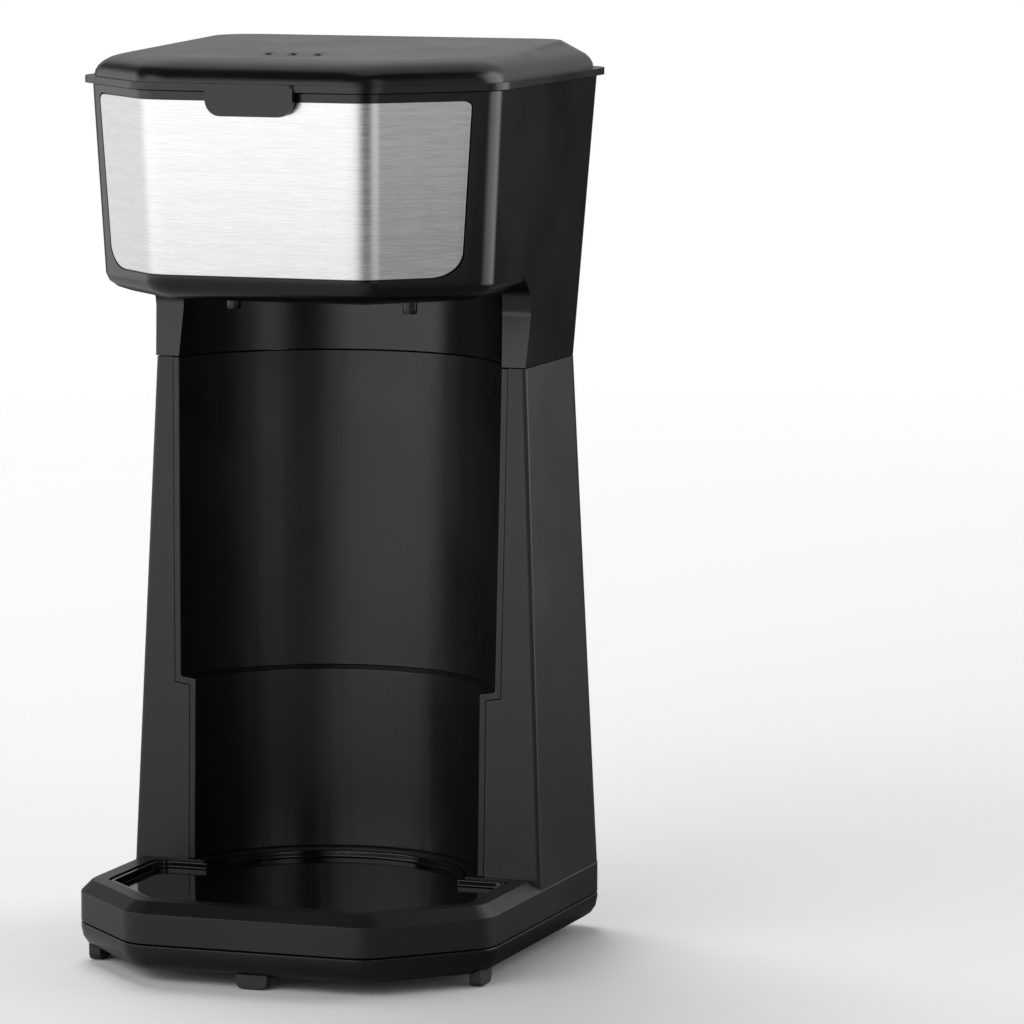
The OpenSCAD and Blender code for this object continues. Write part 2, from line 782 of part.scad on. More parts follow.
valve_h = 20;
valve_z = tank_z - 8 - valve_h;
module valve_body() color("#e4e2dc")
  translate([-hose_x, hose_y, valve_z]) difference() {
    union() {
      translate([0, 0, -5]) cylinder(r = hose_bore / 2 - 0.05, h = 6);
      cylinder(r = ball_d / 2 + 2.6, h = valve_h - 6);
      translate([0, 0, valve_h - 7]) cylinder(r = hose_bore / 2 - 0.05, h = 6);
    }
    translate([0, 0, -6]) cylinder(r = 1.9, h = valve_h + 8);
    translate([0, 0, 3]) cylinder(r = ball_d / 2 + 0.4, h = ball_d + ball_travel + 0.6);
  }
module valve_ball() color("#d0d2d4")
  translate([-hose_x, hose_y, valve_z + 3.2 + ball_d / 2]) sphere(r = ball_d / 2);

module tank_hose() color("#e8e6df")
  translate([-hose_x, hose_y, tank_z - 9]) pipe(hose_r, hose_bore / 2, 8.6);
module inlet_hose() color("#e8e6df") {
  translate([-hose_x, hose_y, hose_low_z]) pipe(hose_r, hose_bore / 2, valve_z - hose_low_z - 0.2);
  translate([-hose_x, hose_y, boiler_z]) elbow(hose_r, hose_bore / 2);
}
module riser_hose() color("#e8e6df") {
  translate([hose_x, hose_y, hose_low_z]) pipe(hose_r, hose_bore / 2, tank_z - hose_low_z - 0.6);
  translate([hose_x, hose_y, boiler_z]) elbow(hose_r, hose_bore / 2);
}

module hose_clips() color("#b4b6b9")
  for (p = [[-hose_x, tank_z - 6], [-hose_x, valve_z - 5], [hose_x, tank_z - 6]])
    translate([p[0], hose_y, p[1]]) {
      pipe(hose_r + 0.9, hose_r + 0.05, 3);
      for (s = [-1, 1]) translate([s * 2 - 0.4, hose_r + 0.4, 0]) cube([0.8, 3, 3]);
    }

// A U with its bend at the front: two straight legs and a half ring
module u_rod(reach, leg, r, bore) {
  translate([0, boiler_bend_y, boiler_z]) {
    rotate([0, 0, 180]) rotate_extrude(angle = 180) translate([reach, 0]) difference() {
      circle(r = r);
      if (bore > 0) circle(r = bore);
    }
    for (s = [-1, 1])
      translate([s * reach, 0, 0]) rotate([-90, 0, 0]) difference() {
        cylinder(r = r, h = leg);
        if (bore > 0) translate([0, 0, -1]) cylinder(r = bore, h = leg + 2);
      }
  }
}
boiler_leg = hose_y - elbow_r - boiler_bend_y - 0.6;
module boiler_tube() color("#a9abad") {
  u_rod(hose_x, boiler_leg - 6, boiler_d / 2, hose_bore / 2 - 0.8);
  for (s = [-1, 1])
    translate([s * hose_x, boiler_bend_y + boiler_leg - 6, boiler_z]) rotate([-90, 0, 0])
      pipe(hose_bore / 2 + 0.6, hose_bore / 2 - 0.8, 5.6);
}
element_reach = hose_x - boiler_d / 2 - element_d / 2 - 0.1;
module heating_element() color("#8f8a84") {
  u_rod(element_reach, boiler_leg - 12, element_d / 2, 0);
  for (s = [-1, 1])
    translate([s * element_reach, boiler_bend_y + boiler_leg - 12, boiler_z]) y_rod(1.2, 9);
}
module boiler_straps() color("#9c9ea1")
  for (y = [boiler_bend_y + 6, boiler_bend_y + 26]) {
    translate([-hose_x - 6, y, boiler_z + boiler_d / 2 + 0.1]) cube([2 * hose_x + 12, 9, 0.8]);
    for (s = [-1, 1])
      translate([s * (hose_x + 6) - (s > 0 ? 0.8 : 0), y, plate_z + 2.3])
        cube([0.8, 9, boiler_z + boiler_d / 2 - plate_z - 2.2]);
  }
module thermostat() color("#4a3b30") {
  translate([0, boiler_bend_y + 10.5, boiler_z - 4.4]) {
    cylinder(r = 8, h = 5);
    translate([0, 0, 5]) cylinder(r = 7, h = boiler_d / 2 - 0.7);
    for (s = [-1, 1]) translate([s * 10 - 3.2, -3, 1]) cube([6.4, 6, 0.8]);
  }
}
module thermal_fuse() color("#d8cfb2")
  translate([0, boiler_bend_y + 24, boiler_z]) {
    translate([-7, 6.5, 0]) rotate([0, 90, 0]) cylinder(r = 2, h = 14);
    for (s = [-1, 1]) translate([s * 11 - 4, 6.5, 0]) rotate([0, 90, 0]) cylinder(r = 0.5, h = 8);
  }

// ---- Electrical parts --------------------------------------------------------------

pivot_in = 4;
module switch_frame() color("#151517") {
  at_switch() difference() {
    union() {
      translate([-1.8, -switch_w / 2 - 1.4, -switch_l / 2 - 1.4]) cube([1.8, switch_w + 2.8, switch_l + 2.8]);
      translate([-0.2, -switch_w / 2 + 0.2, -switch_l / 2 + 0.2]) cube([17, switch_w - 0.4, switch_l - 0.4]);
    }
    translate([-3, -4.9, -rocker_r - 0.25]) cube([14.5, 9.8, 2 * rocker_r + 0.5]);
    translate([-1.8 + pivot_in, -6, 0]) y_rod(1.25, 12);
  }
  for (y = [-3.4, 3.4]) at_switch() translate([16.7, y - 0.4, -3]) cube([7, 0.8, 6]);
}

// Rocker drawn level, then tilted to its off position
module switch_rocker() color("#b3161b")
  at_switch() translate([pivot_in - 1.8, 0, 0]) rotate([0, -rocker_tilt, 0]) {
    intersection() {
      translate([0, -4.7, 0]) y_rod(rocker_r, 9.4);
      rotate([90, 0, 0]) linear_extrude(height = 12, center = true)
        polygon([[-pivot_in - 1.2, 0], [-pivot_in - 2.3, 9], [3, 9], [3, -9], [-pivot_in - 2.3, -9]]);
    }
    translate([0, -5.9, 0]) y_rod(1.2, 11.8);
  }

module power_light() color("#d8581a")
  translate([-col_hw(light_z) + wall, switch_y, light_z]) rotate([0, -90, 0]) {
    translate([0, 0, -1.2]) cylinder(r = 3.2, h = 1.1);
    translate([0, 0, -0.2]) cylinder(r = 2.1, h = wall + 0.7);
  }

module cord_gland() color("#202022")
  translate([gland_x, gland_y, gland_z]) rotate([-90, 0, 0]) difference() {
    union() {
      translate([0, 0, -wall - 0.1]) cylinder(r = 4.9, h = wall + 1);
      translate([0, 0, 0.2]) cylinder(r = 7, h = 2);
      translate([0, 0, 2]) cylinder(r1 = 5.4, r2 = 4.6, h = 3.4);
      translate([0, 0, -wall - 2.3]) cylinder(r = 6, h = 2.2);
    }
    translate([0, 0, -10]) cylinder(r = 3.4, h = 30);
  }

module terminal_block() color("#dedbd2")
  translate([gland_x - 26, gland_y - wall - 14, gland_z - 22]) difference() {
    cube([16, 8, 14]);
    for (x = [4, 12]) {
      translate([x, -1, 7]) y_rod(1.6, 10);
      translate([x, 4, 9]) cylinder(r = 1.4, h = 6, $fn = 24);
    }
  }

module screw(l) {
  difference() {
    union() {
      cylinder(r = 2.8, h = 1.8);
      cylinder(r = 1.15, h = l);
    }
    for (a = [0, 90]) rotate([0, 0, a]) translate([-1.7, -0.35, -0.1]) cube([3.4, 0.7, 1.1]);
  }
}
module base_screws() color("#8d8f92")
  for (p = base_screw_spots) translate([p[0], p[1], plate_z + 1.1]) screw(plate_h + 4);
module cover_screws() color("#8d8f92")
  for (p = cover_screw_spots) translate([p[0], col_rear(p[1]) + 1.85, p[1]]) rotate([90, 0, 0]) screw(9);

upper_housing();
steel_panel();
lower_housing();
bay_liner();
rear_cover();
bottom_plate();
foot_front();
foot_left();
foot_right();
foot_rear();
lid();
lid_liner();
water_channel();
shower_plate();
channel_seal();
hinge_pin();
drip_tray();
water_tank();
tank_screen();
brew_chamber();
brew_basket();
filter_frame();
filter_mesh();
riser_tube();
riser_grommet();
tank_hose();
inlet_hose();
riser_hose();
hose_clips();
valve_body();
valve_ball();
boiler_tube();
heating_element();
boiler_straps();
thermostat();
thermal_fuse();
switch_frame();
switch_rocker();
power_light();
cord_gland();
terminal_block();
base_screws();
cover_screws();
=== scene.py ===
# %% [markdown]
# # A single-serve drip coffee maker
# The machine is a faceted brew head on two side walls, over a cup bay and a base with a lift-out tray.
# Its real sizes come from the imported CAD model, which is loaded first and is never changed here.
# Visible shells get finer pieces of their own, and everything inside gets a proper finish.

# %% Load the frame
import json
import math

import bpy
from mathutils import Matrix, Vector

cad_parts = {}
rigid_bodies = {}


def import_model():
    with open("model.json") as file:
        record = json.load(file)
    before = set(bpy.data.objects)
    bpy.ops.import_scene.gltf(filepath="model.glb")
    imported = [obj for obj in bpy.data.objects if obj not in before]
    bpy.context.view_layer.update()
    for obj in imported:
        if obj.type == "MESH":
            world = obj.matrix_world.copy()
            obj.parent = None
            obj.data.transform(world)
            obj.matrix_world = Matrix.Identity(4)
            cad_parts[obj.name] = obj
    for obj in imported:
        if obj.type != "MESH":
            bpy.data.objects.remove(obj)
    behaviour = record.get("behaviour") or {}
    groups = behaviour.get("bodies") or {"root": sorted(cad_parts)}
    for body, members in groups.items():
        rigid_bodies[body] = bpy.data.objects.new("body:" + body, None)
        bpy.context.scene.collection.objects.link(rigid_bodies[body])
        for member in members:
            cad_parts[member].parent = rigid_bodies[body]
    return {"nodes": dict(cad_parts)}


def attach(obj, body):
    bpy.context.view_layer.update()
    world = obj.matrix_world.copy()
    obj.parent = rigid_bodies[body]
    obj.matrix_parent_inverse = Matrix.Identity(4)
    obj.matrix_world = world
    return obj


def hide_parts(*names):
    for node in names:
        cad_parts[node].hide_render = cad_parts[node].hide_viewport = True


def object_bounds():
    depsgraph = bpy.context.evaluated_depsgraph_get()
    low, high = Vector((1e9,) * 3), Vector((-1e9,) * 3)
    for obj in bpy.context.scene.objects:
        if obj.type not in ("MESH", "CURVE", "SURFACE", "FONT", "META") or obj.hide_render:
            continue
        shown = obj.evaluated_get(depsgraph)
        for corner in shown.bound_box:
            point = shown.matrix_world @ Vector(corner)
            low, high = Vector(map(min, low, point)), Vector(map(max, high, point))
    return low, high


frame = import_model()
cad_low, cad_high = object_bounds()
nodes = frame["nodes"]
print("CAD box in mm:", [round(1000 * v, 1) for v in (*cad_low, *cad_high)])

# %% [markdown]
# ## Camera
# A product picture is taken from far away with a long lens, so that upright edges stay almost parallel.
# The camera stands to the right of the machine and a little above it, and looks down by seven degrees.

# %% Camera
AZIMUTH, ELEVATION = 0.34077, 0.12374
camera_back = Vector((math.sin(AZIMUTH) * math.cos(ELEVATION), -math.cos(AZIMUTH) * math.cos(ELEVATION),
                      math.sin(ELEVATION)))
camera_data = bpy.data.cameras.new("camera")
camera_data.lens = 217.97
camera_data.sensor_width = 36
camera_data.clip_end = 60
camera = bpy.data.objects.new("camera", camera_data)
bpy.context.scene.collection.objects.link(camera)
camera.location = (0.71400, -1.84030, 0.38760)
camera.rotation_mode = "QUATERNION"
camera.rotation_quaternion = (-camera_back).to_track_quat("-Z", "Y")
bpy.context.scene.camera = camera
bpy.context.scene.view_settings.view_transform = "Standard"
print("camera", [round(v, 3) for v in camera.location])

# %% [markdown]
# ## Studio
# Black plastic and brushed steel have almost no colour of their own: what they show is the room.
# The world therefore holds soft bright walls and dark gaps by compass direction, as a studio's
# softboxes and black flags would stand. Rays that go straight to the lens see plain white.

# %% Small helpers for node trees
def add(tree, kind, **values):
    node = tree.nodes.new(kind)
    for name, value in values.items():
        setattr(node, name, value)
    return node


def math_node(tree, operation, a, b=None, c=None):
    node = add(tree, "ShaderNodeMath", operation=operation)
    for i, value in enumerate((a, b, c)):
        if value is None:
            continue
        if isinstance(value, (int, float)):
            node.inputs[i].default_value = value
        else:
            tree.links.new(value, node.inputs[i])
    return node.outputs[0]


def ramp(tree, value, low, high, to_low=0.0, to_high=1.0):
    node = add(tree, "ShaderNodeMapRange", interpolation_type="SMOOTHSTEP")
    tree.links.new(value, node.inputs["Value"])
    for name, number in zip(("From Min", "From Max", "To Min", "To Max"), (low, high, to_low, to_high)):
        node.inputs[name].default_value = number
    return node.outputs["Result"]


# %% World with softboxes
world = bpy.data.worlds.new("studio")
bpy.context.scene.world = world
world.use_nodes = True
sky = world.node_tree
sky.nodes.clear()
direction = add(sky, "ShaderNodeTexCoord").outputs["Generated"]
split = add(sky, "ShaderNodeSeparateXYZ")
sky.links.new(direction, split.inputs[0])
across, depth, height = split.outputs
towards_front = math_node(sky, "MULTIPLY", depth, -1.0)
compass = math_node(sky, "MULTIPLY", math_node(sky, "ARCTAN2", across, towards_front), 180 / math.pi)


def wall_light(start, end, soft, low, high, strength):
    """A softbox between two compass angles and two heights, with soft edges."""
    left = ramp(sky, compass, start - soft, start + soft)
    right = ramp(sky, compass, end - soft, end + soft, 1.0, 0.0)
    under = ramp(sky, height, low - 0.12, low + 0.12)
    over = ramp(sky, height, high - 0.12, high + 0.12, 1.0, 0.0)
    width = math_node(sky, "MULTIPLY", left, right)
    box = math_node(sky, "MULTIPLY", width, math_node(sky, "MULTIPLY", under, over))
    return math_node(sky, "MULTIPLY", box, strength)


light = wall_light(-84, 14, 14, -0.5, 0.7, 1.5)
for softbox in (wall_light(-128, -84, 12, -0.5, 0.35, 0.95), wall_light(44, 64, 7, -0.4, 0.8, 1.0),
                wall_light(66, 92, 6, -0.4, 0.6, 0.3), wall_light(104, 148, 8, -0.35, 0.7, 2.2),
                wall_light(138, 200, 6, 0.04, 1.3, 0.42), wall_light(-200, -140, 6, 0.04, 1.3, 0.42)):
    light = math_node(sky, "ADD", light, softbox)
light = math_node(sky, "ADD", light, 0.03)
path = add(sky, "ShaderNodeLightPath")
strength = add(sky, "ShaderNodeMix", data_type="FLOAT")
sky.links.new(path.outputs["Is Camera Ray"], strength.inputs[0])
sky.links.new(light, strength.inputs[2])
strength.inputs[3].default_value = 1.0
background = add(sky, "ShaderNodeBackground")
background.inputs["Color"].default_value = (1, 1, 1, 1)
sky.links.new(strength.outputs[0], background.inputs["Strength"])
sky.links.new(background.outputs[0], add(sky, "ShaderNodeOutputWorld").inputs["Surface"])
print("world nodes", len(sky.nodes))

# %% [markdown]
# ## Floor and key light
# The floor is a pale disc that fades out into the white of the room, so that no edge shows.
# Glossy parts see a painted reflection of it: darker than the lens sees it, painted lightest at the front
# left and darkest at the back and right.
# The key lamp hangs high on the left and behind. A wide, weaker lamp in front fills the shadows.
# Both stay out of the reflections.

# %% Floor
bpy.ops.object.select_all(action="DESELECT")
BELOW_FEET = 0.0002
bpy.ops.mesh.primitive_circle_add(vertices=96, radius=4, fill_type="NGON",
                                  location=(0, 0, cad_low.z - BELOW_FEET))
floor = bpy.context.object
floor.name = "floor"
floor_paint = bpy.data.materials.new("pale_floor")
floor_paint.use_nodes = True
tree = floor_paint.node_tree
tree.nodes.clear()
place = add(tree, "ShaderNodeTexCoord").outputs["Object"]
distance = add(tree, "ShaderNodeVectorMath", operation="LENGTH")
tree.links.new(place, distance.inputs[0])
fade = ramp(tree, distance.outputs["Value"], 0.35, 1.9)
seen_in_gloss = math_node(tree, "MULTIPLY", add(tree, "ShaderNodeLightPath").outputs["Is Glossy Ray"], 0.95)
paint = add(tree, "ShaderNodeBsdfDiffuse")
paint.inputs["Color"].default_value = (0.88, 0.88, 0.88, 1)
shade = add(tree, "ShaderNodeBsdfDiffuse")
floor_place = add(tree, "ShaderNodeSeparateXYZ")
tree.links.new(place, floor_place.inputs[0])
# Painted reflection: in glossy rays the floor is painted from 0.42 at the front left down to 0.05 at the
# back right.
sideways = math_node(tree, "MULTIPLY_ADD", floor_place.outputs[0], 1.2, floor_place.outputs[1])
painted_reflection_tone = ramp(tree, sideways, -0.12, 0.1, 0.42, 0.05)
tree.links.new(painted_reflection_tone, shade.inputs["Color"])
surface = add(tree, "ShaderNodeMixShader")
for source, target in ((seen_in_gloss, 0), (paint.outputs[0], 1), (shade.outputs[0], 2)):
    tree.links.new(source, surface.inputs[target])
edge = add(tree, "ShaderNodeMixShader")
clear = add(tree, "ShaderNodeBsdfTransparent")
for source, target in ((fade, 0), (surface.outputs[0], 1), (clear.outputs[0], 2)):
    tree.links.new(source, edge.inputs[target])
tree.links.new(edge.outputs[0], add(tree, "ShaderNodeOutputMaterial").inputs["Surface"])
floor.data.materials.append(floor_paint)


# %% Lamps
def lamp(name, place, target, width, height_, power, in_gloss=False):
    data = bpy.data.lights.new(name, "AREA")
    data.shape, data.size, data.size_y, data.energy = "RECTANGLE", width, height_, power
    item = bpy.data.objects.new(name, data)
    bpy.context.scene.collection.objects.link(item)
    item.location = place
    item.rotation_mode = "QUATERNION"
    item.rotation_quaternion = (Vector(target) - Vector(place)).to_track_quat("-Z", "Y")
    item.visible_camera = False
    item.visible_glossy = in_gloss
    return item


lamp("key", (-0.8, 0.9, 2.2), (0, 0, 0.1), 1.4, 1.4, 30)
lamp("fill", (-0.9, -2.2, 1.8), (0, 0, 0.1), 2.0, 1.2, 15)

# %% [markdown]
# ## Finishes
# Moulded plastic is not one flat colour. A mould is etched, so light breaks up on a fine grain, and
# handling leaves slightly smoother and rougher patches. One node group makes grain, patches and tone
# for every moulded part, and each material gives it its own values.

# %% Node group for moulded surfaces
def new_group(name, inputs, outputs):
    group = bpy.data.node_groups.new(name, "ShaderNodeTree")
    for label, kind, value in inputs:
        socket = group.interface.new_socket(name=label, in_out="INPUT", socket_type=kind)
        socket.default_value = value
    for label, kind in outputs:
        group.interface.new_socket(name=label, in_out="OUTPUT", socket_type=kind)
    return group, add(group, "NodeGroupInput"), add(group, "NodeGroupOutput")


def noise(tree, coordinate, scale, detail=2.0, distortion=0.0):
    node = add(tree, "ShaderNodeTexNoise")
    tree.links.new(coordinate, node.inputs["Vector"])
    if isinstance(scale, (int, float)):
        node.inputs["Scale"].default_value = scale
    else:
        tree.links.new(scale, node.inputs["Scale"])
    node.inputs["Detail"].default_value = detail
    node.inputs["Distortion"].default_value = distortion
    return node.outputs["Fac"]


def tone(tree, amount, dark, light_):
    node = add(tree, "ShaderNodeMix", data_type="RGBA")
    tree.links.new(amount, node.inputs[0])
    for socket, colour in ((node.inputs[6], dark), (node.inputs[7], light_)):
        if isinstance(colour, tuple):
            socket.default_value = (*colour, 1)
        else:
            tree.links.new(colour, socket)
    return node.outputs[2]


NUMBER, COLOUR, VECTOR = "NodeSocketFloat", "NodeSocketColor", "NodeSocketVector"
moulded, given, made = new_group(
    "moulded_grain",
    [("Deep Colour", COLOUR, (0.02, 0.02, 0.02, 1)), ("Pale Colour", COLOUR, (0.03, 0.03, 0.03, 1)),
     ("Grain Scale", NUMBER, 1500), ("Grain Depth", NUMBER, 0.1),
     ("Smooth", NUMBER, 0.3), ("Rough", NUMBER, 0.4)],
    [("Colour", COLOUR), ("Roughness", NUMBER), ("Normal", VECTOR)])
spot = add(moulded, "ShaderNodeTexCoord").outputs["Object"]
patches = ramp(moulded, noise(moulded, spot, 22, 3), 0.35, 0.68)
specks = noise(moulded, spot, given.outputs["Grain Scale"], 1.5)
blotch = math_node(moulded, "ADD", math_node(moulded, "MULTIPLY", patches, 0.6),
                   math_node(moulded, "MULTIPLY", specks, 0.4))
mottled = tone(moulded, blotch, given.outputs["Deep Colour"], given.outputs["Pale Colour"])
moulded.links.new(mottled, made.inputs["Colour"])
span = math_node(moulded, "SUBTRACT", given.outputs["Rough"], given.outputs["Smooth"])
moulded.links.new(math_node(moulded, "MULTIPLY_ADD", patches, span, given.outputs["Smooth"]),
                  made.inputs["Roughness"])
bump = add(moulded, "ShaderNodeBump")
bump.inputs["Distance"].default_value = 0.0004
moulded.links.new(given.outputs["Grain Depth"], bump.inputs["Strength"])
moulded.links.new(specks, bump.inputs["Height"])
moulded.links.new(bump.outputs[0], made.inputs["Normal"])
print("moulded grain:", len(moulded.nodes), "nodes")


# %% Materials from the moulded group
def shader_material(name, **constants):
    material = bpy.data.materials.new(name)
    material.use_nodes = True
    shader = material.node_tree.nodes["Principled BSDF"]
    for label, value in constants.items():
        shader.inputs[label.replace("_", " ")].default_value = value
    return material, material.node_tree, shader


def plastic(name, deep, pale, grain=1500, depth=0.1, smooth=0.3, rough=0.4, **constants):
    material, tree, shader = shader_material(name, **constants)
    effect = add(tree, "ShaderNodeGroup", node_tree=moulded)
    effect.inputs["Deep Colour"].default_value = (*deep, 1)
    effect.inputs["Pale Colour"].default_value = (*pale, 1)
    for label, value in (("Grain Scale", grain), ("Grain Depth", depth),
                         ("Smooth", smooth), ("Rough", rough)):
        effect.inputs[label].default_value = value
    tree.links.new(effect.outputs["Colour"], shader.inputs["Base Color"])
    tree.links.new(effect.outputs["Roughness"], shader.inputs["Roughness"])
    tree.links.new(effect.outputs["Normal"], shader.inputs["Normal"])
    return material


head_black = plastic("head_black", (0.0028, 0.0028, 0.003), (0.0042, 0.0042, 0.0044), 2400, 0.06, 0.17, 0.22)
lid_black = plastic("lid_black", (0.003, 0.003, 0.0032), (0.0048, 0.0048, 0.005), 2400, 0.08, 0.2, 0.27)
body_black = plastic("body_black", (0.0045, 0.0045, 0.0047), (0.0085, 0.0085, 0.0088), 2600, 0.1, 0.33, 0.4)
bay_black = plastic("bay_black", (0.0028, 0.0028, 0.003), (0.0058, 0.0058, 0.006), 2600, 0.1, 0.26, 0.33)
base_black = plastic("base_black", (0.003, 0.003, 0.0032), (0.0052, 0.0052, 0.0054), 2400, 0.06, 0.2, 0.26)
gloss_black = plastic("gloss_black", (0.0018, 0.0018, 0.002), (0.0028, 0.0028, 0.003), 900, 0.02, 0.06, 0.1)
inner_black = plastic("inner_black", (0.03, 0.03, 0.032), (0.042, 0.042, 0.044), 900, 0.05, 0.32, 0.44)
foot_rubber = plastic("foot_rubber", (0.016, 0.016, 0.017), (0.03, 0.03, 0.031), 1200, 0.25, 0.6, 0.75)
silicone = plastic("silicone", (0.62, 0.6, 0.53), (0.74, 0.72, 0.66), 500, 0.05, 0.36, 0.5,
                   Subsurface_Weight=0.25)
natural_nylon = plastic("natural_nylon", (0.66, 0.63, 0.55), (0.76, 0.74, 0.67), 600, 0.05, 0.25, 0.35,
                        Subsurface_Weight=0.2)
phenolic = plastic("phenolic", (0.05, 0.028, 0.018), (0.1, 0.06, 0.04), 1000, 0.08, 0.3, 0.45)
ceramic = plastic("ceramic", (0.66, 0.63, 0.54), (0.8, 0.78, 0.7), 800, 0.06, 0.4, 0.6)
rocker_red = plastic("rocker_red", (0.36, 0.01, 0.008), (0.46, 0.016, 0.012), 500, 0.02, 0.16, 0.24,
                     Coat_Weight=0.4)
lamp_amber = plastic("lamp_amber", (0.62, 0.16, 0.02), (0.8, 0.3, 0.05), 700, 0.05, 0.1, 0.18,
                     Coat_Weight=0.6)

# %% [markdown]
# Brushed steel is scratched one way only, by a belt. The scratches are long and thin, so the noise is
# stretched along the sheet and squeezed up and down. They change tone and roughness a little, and a
# fine bump spreads the reflections upwards. The same group serves the plated and rolled metals.

# %% Node group for drawn and brushed metal
brushed, given, made = new_group(
    "brushed_metal",
    [("Dark Metal", COLOUR, (0.6, 0.6, 0.6, 1)), ("Light Metal", COLOUR, (0.8, 0.8, 0.8, 1)),
     ("Along", NUMBER, 60), ("Across", NUMBER, 2600), ("Depth", NUMBER, 0.1),
     ("Smooth", NUMBER, 0.25), ("Rough", NUMBER, 0.36)],
    [("Colour", COLOUR), ("Roughness", NUMBER), ("Normal", VECTOR)])
spot = add(brushed, "ShaderNodeTexCoord").outputs["Object"]
stretch = add(brushed, "ShaderNodeCombineXYZ")
for source, target in (("Along", 0), ("Along", 1), ("Across", 2)):
    brushed.links.new(given.outputs[source], stretch.inputs[target])
squeezed = add(brushed, "ShaderNodeVectorMath", operation="MULTIPLY")
brushed.links.new(spot, squeezed.inputs[0])
brushed.links.new(stretch.outputs[0], squeezed.inputs[1])
scratch = noise(brushed, squeezed.outputs[0], 1.0, 4)
broad = noise(brushed, squeezed.outputs[0], 0.22, 2)
both = math_node(brushed, "ADD", math_node(brushed, "MULTIPLY", scratch, 0.65),
                 math_node(brushed, "MULTIPLY", broad, 0.35))
streak = ramp(brushed, both, 0.36, 0.64)
drawn = tone(brushed, streak, given.outputs["Dark Metal"], given.outputs["Light Metal"])
brushed.links.new(drawn, made.inputs["Colour"])
span = math_node(brushed, "SUBTRACT", given.outputs["Rough"], given.outputs["Smooth"])
brushed.links.new(math_node(brushed, "MULTIPLY_ADD", streak, span, given.outputs["Smooth"]),
                  made.inputs["Roughness"])
bump = add(brushed, "ShaderNodeBump")
bump.inputs["Distance"].default_value = 0.0002
brushed.links.new(given.outputs["Depth"], bump.inputs["Strength"])
brushed.links.new(scratch, bump.inputs["Height"])
brushed.links.new(bump.outputs[0], made.inputs["Normal"])


def metal(name, dark, pale, along=60, across=2600, depth=0.1, smooth=0.25, rough=0.36, **constants):
    material, tree, shader = shader_material(name, Metallic=1.0, **constants)
    effect = add(tree, "ShaderNodeGroup", node_tree=brushed)
    effect.inputs["Dark Metal"].default_value = (*dark, 1)
    effect.inputs["Light Metal"].default_value = (*pale, 1)
    for label, value in (("Along", along), ("Across", across), ("Depth", depth),
                         ("Smooth", smooth), ("Rough", rough)):
        effect.inputs[label].default_value = value
    tree.links.new(effect.outputs["Colour"], shader.inputs["Base Color"])
    tree.links.new(effect.outputs["Roughness"], shader.inputs["Roughness"])
    tree.links.new(effect.outputs["Normal"], shader.inputs["Normal"])
    return material


panel_steel = metal("panel_steel", (0.7, 0.7, 0.703), (0.78, 0.78, 0.783), 160, 2400, 0.05, 0.22, 0.27,
                    Anisotropic=0.5)
plated_steel = metal("plated_steel", (0.55, 0.56, 0.57), (0.68, 0.69, 0.7), 300, 300, 0.05, 0.16, 0.28)
boiler_alloy = metal("boiler_alloy", (0.6, 0.61, 0.62), (0.74, 0.75, 0.76), 900, 900, 0.2, 0.38, 0.5)
element_sheath = metal("element_sheath", (0.3, 0.26, 0.24), (0.46, 0.43, 0.4), 200, 200, 0.1, 0.3, 0.45)
filter_gauze = metal("filter_gauze", (0.5, 0.35, 0.13), (0.72, 0.54, 0.24), 2600, 2600, 0.5, 0.25, 0.4)
print("materials", len(bpy.data.materials))

# %% [markdown]
# ## Finer shells
# A moulded shell has no razor edges: each is rounded by a few tenths of a millimetre, and that thin
# rounding is what catches the light. A CAD mesh is loose triangles, so a duplicate of it is merged and
# its flat triangles are joined, and then a narrow bevel runs along its sharp edges only. Weighted
# normals keep the large faces flat while the bends shade smoothly.

# %% Rounded shell from a duplicate
def rounded_shell(name, cad_node, body, material, radius=0.0004, sharp=38):
    bpy.ops.object.select_all(action="DESELECT")
    source = nodes[cad_node]
    source.hide_viewport = False
    source.select_set(True)
    bpy.context.view_layer.objects.active = source
    bpy.ops.object.duplicate()
    piece = bpy.context.object
    bpy.ops.object.parent_clear(type="CLEAR_KEEP_TRANSFORM")
    piece.name = name
    for key in list(piece.keys()):
        del piece[key]
    piece.data.materials.clear()
    piece.data.materials.append(material)
    bpy.ops.object.mode_set(mode="EDIT")
    bpy.ops.mesh.select_mode(type="VERT")
    bpy.ops.mesh.select_all(action="SELECT")
    bpy.ops.mesh.remove_doubles(threshold=0.00004)
    bpy.ops.mesh.dissolve_limited(angle_limit=math.radians(0.8))
    bpy.ops.mesh.select_all(action="DESELECT")
    bpy.ops.object.mode_set(mode="OBJECT")
    bevel = piece.modifiers.new("rounding", "BEVEL")
    bevel.width, bevel.segments, bevel.limit_method = radius, 2, "ANGLE"
    bevel.angle_limit, bevel.use_clamp_overlap, bevel.harden_normals = math.radians(sharp), True, False
    bevel.miter_outer = "MITER_ARC"
    bpy.ops.object.modifier_apply(modifier=bevel.name)
    bpy.ops.object.shade_smooth_by_angle(angle=math.radians(34))
    weigh = piece.modifiers.new("flat faces", "WEIGHTED_NORMAL")
    weigh.keep_sharp = True
    bpy.ops.object.modifier_apply(modifier=weigh.name)
    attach(piece, body)
    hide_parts(cad_node)
    print(name, len(piece.data.polygons), "faces")
    return piece


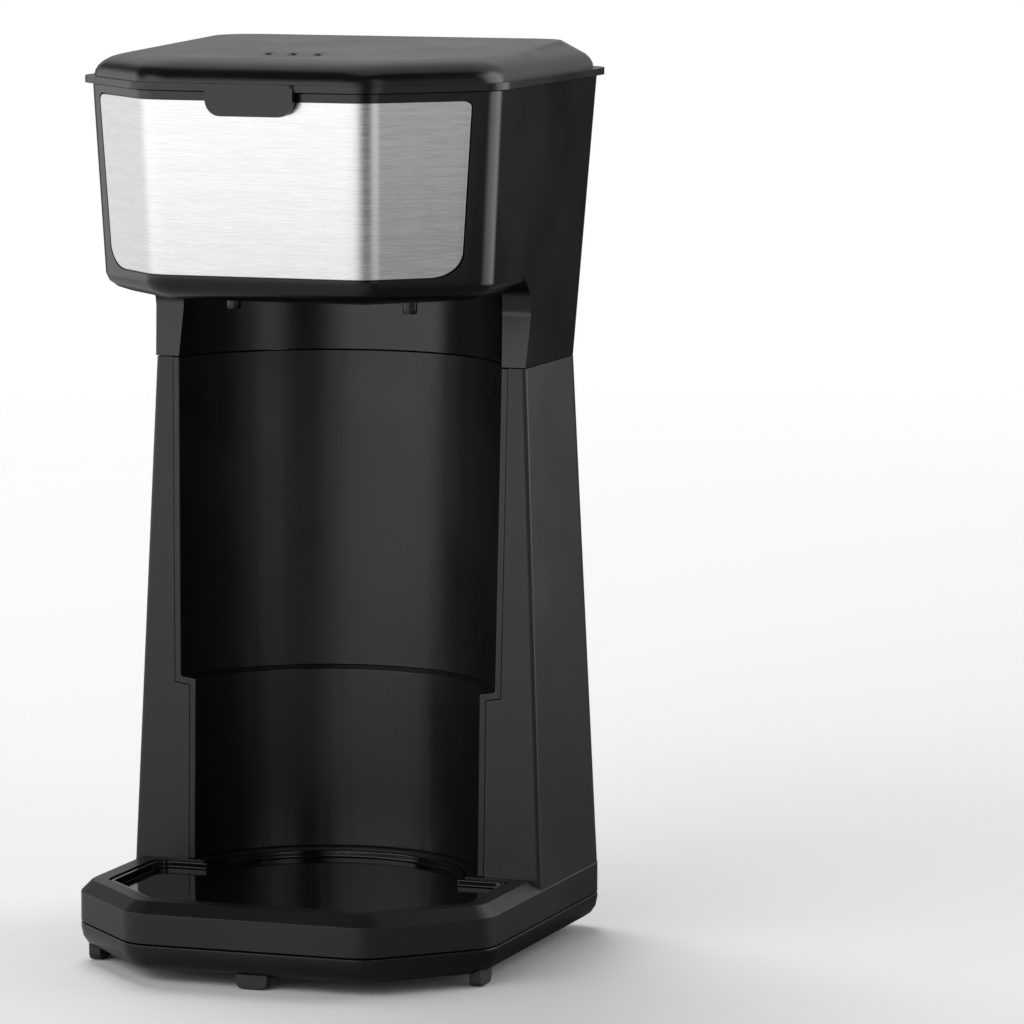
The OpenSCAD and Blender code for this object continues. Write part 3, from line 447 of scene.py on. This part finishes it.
SHELLS = [
    ("head_shell", "upper_housing", "root", "satin_black", head_black, 0.0004),
    ("panel_sheet", "steel_panel", "root", "brushed_panel", panel_steel, 0.0001),
    ("column_shell", "lower_housing", "root", "satin_black", body_black, 0.0004),
    ("bay_wall", "bay_liner", "root", "satin_black", bay_black, 0.0003),
    ("service_cover", "rear_cover", "root", "satin_black", body_black, 0.0003),
    ("base_pan", "bottom_plate", "root", "satin_black", base_black, 0.0004),
    ("foot_pad_front", "foot_front", "root", "foot_rubber", foot_rubber, 0.0005),
    ("foot_pad_left", "foot_left", "root", "foot_rubber", foot_rubber, 0.0005),
    ("foot_pad_right", "foot_right", "root", "foot_rubber", foot_rubber, 0.0005),
    ("foot_pad_rear", "foot_rear", "root", "foot_rubber", foot_rubber, 0.0005),
    ("lid_shell", "lid", "lid", "satin_black", lid_black, 0.0004),
    ("tray_dish", "drip_tray", "tray", "gloss_black", gloss_black, 0.0005),
    ("basket_shell", "brew_basket", "root", "gloss_black", gloss_black, 0.0003),
    ("rocker_cap", "switch_rocker", "rocker", "rocker_red", rocker_red, 0.0003),
    ("rocker_frame", "switch_frame", "root", "gloss_black", gloss_black, 0.0003),
]
for name, cad_node, body, slot, material, radius in SHELLS:
    rounded_shell(name, cad_node, body, material, radius)

# %% Finishes of the parts that keep their CAD shape
INSIDE = {
    "lid_liner": inner_black, "water_channel": inner_black, "shower_plate": inner_black,
    "channel_seal": silicone, "hinge_pin": plated_steel, "water_tank": inner_black,
    "tank_screen": plated_steel, "brew_chamber": inner_black,
    "filter_frame": gloss_black, "filter_mesh": filter_gauze, "riser_tube": natural_nylon,
    "riser_grommet": silicone, "tank_hose": silicone, "inlet_hose": silicone, "riser_hose": silicone,
    "hose_clips": plated_steel, "valve_body": natural_nylon, "valve_ball": plated_steel,
    "boiler_tube": boiler_alloy, "heating_element": element_sheath, "boiler_straps": plated_steel,
    "thermostat": phenolic, "thermal_fuse": ceramic, "power_light": lamp_amber, "cord_gland": foot_rubber,
    "terminal_block": ceramic, "base_screws": plated_steel, "cover_screws": plated_steel,
}
for name, material in INSIDE.items():
    nodes[name].data.materials.clear()
    nodes[name].data.materials.append(material)
unfinished = [n for n in nodes if n not in INSIDE and n not in {s[1] for s in SHELLS}]
print("finished inside:", len(INSIDE), "left over:", unfinished)
